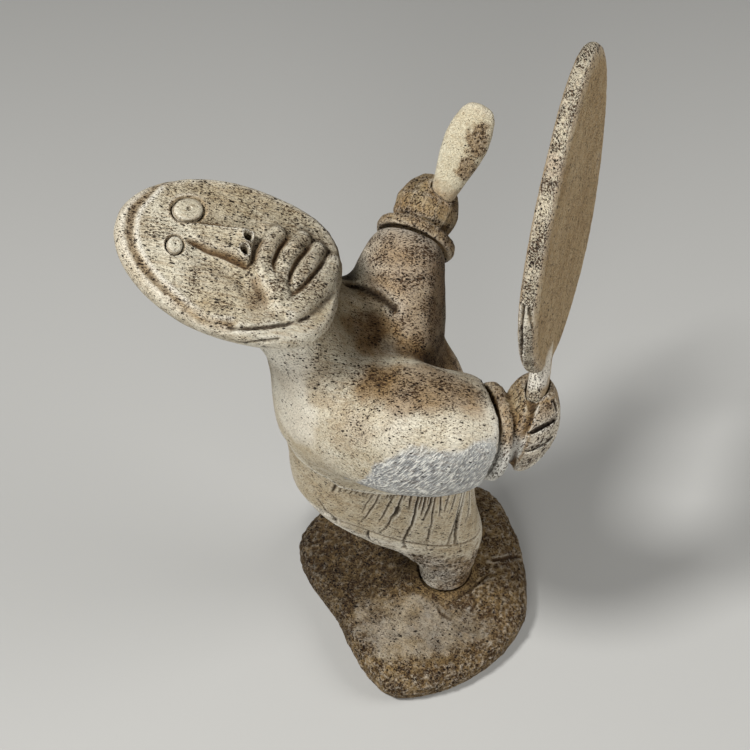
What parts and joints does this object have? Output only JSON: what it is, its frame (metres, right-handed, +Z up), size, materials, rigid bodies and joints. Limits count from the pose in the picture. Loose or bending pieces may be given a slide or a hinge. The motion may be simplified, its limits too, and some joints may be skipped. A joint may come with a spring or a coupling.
{
  "type": "drum dancer figure",
  "caption": "Carved whalebone figure in a parka, leaning back with its face to the sky, a flat drum in the right fist and a beater in the left, on a rough bone base.",
  "frame": {"origin": "middle of the base's underside", "axes": "+Z up, +X the way the figure's body faces, +Y the figure's left"},
  "size_m": [0.3059, 0.2276, 0.5014],
  "materials": {
    "body_bone": "matte",
    "hand_bone": "matte",
    "base_bone": "matte",
    "drum_bone": "matte",
    "eye_bone": "satin"
  },
  "bodies": {
    "root": {"base": "base_bone", "figure": "body_bone", "left_eye": "eye_bone", "right_eye": "eye_bone", "right_hand": "hand_bone", "left_hand": "hand_bone", "drum": "drum_bone", "beater": "drum_bone"}
  },
  "joints": []
}
